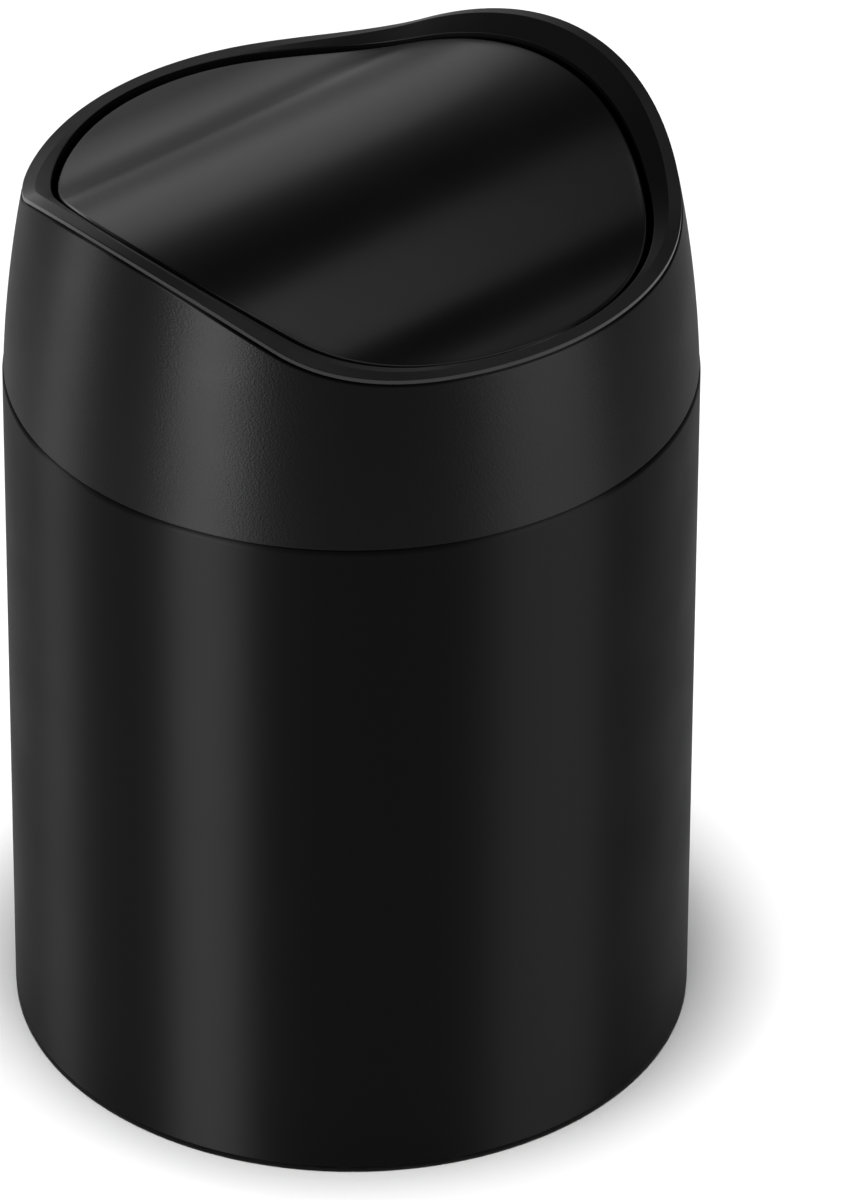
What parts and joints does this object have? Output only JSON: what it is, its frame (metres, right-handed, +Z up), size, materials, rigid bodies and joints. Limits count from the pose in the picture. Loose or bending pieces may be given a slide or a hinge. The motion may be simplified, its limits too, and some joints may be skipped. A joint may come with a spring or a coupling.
{
  "type": "countertop trash can with swing lid",
  "caption": "Small round bin with a steel body, a lift-off plastic collar and a saddle-shaped lid that swings both ways on two pins.",
  "frame": {"origin": "centre of the base, on the surface that the can stands on", "axes": "+Z up, -Y towards the front, the lid swings about X"},
  "size_m": [0.13, 0.13, 0.1885],
  "materials": {
    "body_paint": "smooth satin black paint",
    "floor_steel": "black paint",
    "base_plastic": "fine moulded texture",
    "foot_rubber": "soft matt",
    "collar_plastic": "fine spark-eroded texture",
    "rim_plastic": "satin",
    "screw_steel": "zinc plated",
    "bush_plastic": "natural acetal",
    "lid_plastic": "satin",
    "underside_plastic": "fine moulded texture",
    "weight_steel": "mill finish",
    "pin_steel": "ground"
  },
  "bodies": {
    "bin_body": {"body_tube": "body_paint", "floor_pan": "floor_steel", "base_moulding": "base_plastic", "foot_pad_1": "foot_rubber", "foot_pad_2": "foot_rubber", "foot_pad_3": "foot_rubber", "foot_pad_4": "foot_rubber"},
    "collar_unit": {"collar": "collar_plastic", "rim_ring": "rim_plastic", "collar_screws": "screw_steel", "pivot_bush_left": "bush_plastic", "pivot_bush_right": "bush_plastic"},
    "lid": {"lid_panel": "lid_plastic", "lid_underside": "underside_plastic", "lid_weight": "weight_steel", "lid_screws": "screw_steel", "pivot_pin_left": "pin_steel", "pivot_pin_right": "pin_steel"}
  },
  "joints": [
    {"name": "collar_lift", "type": "slide", "parent": "bin_body", "child": "collar_unit", "axis": [0, 0, 1], "range_m": [0, 0.06]},
    {"name": "lid_swing", "type": "hinge", "parent": "collar_unit", "child": "lid", "pos_m": [0, 0, 0.179], "axis": [1, 0, 0], "range_deg": [-80, 80]}
  ]
}
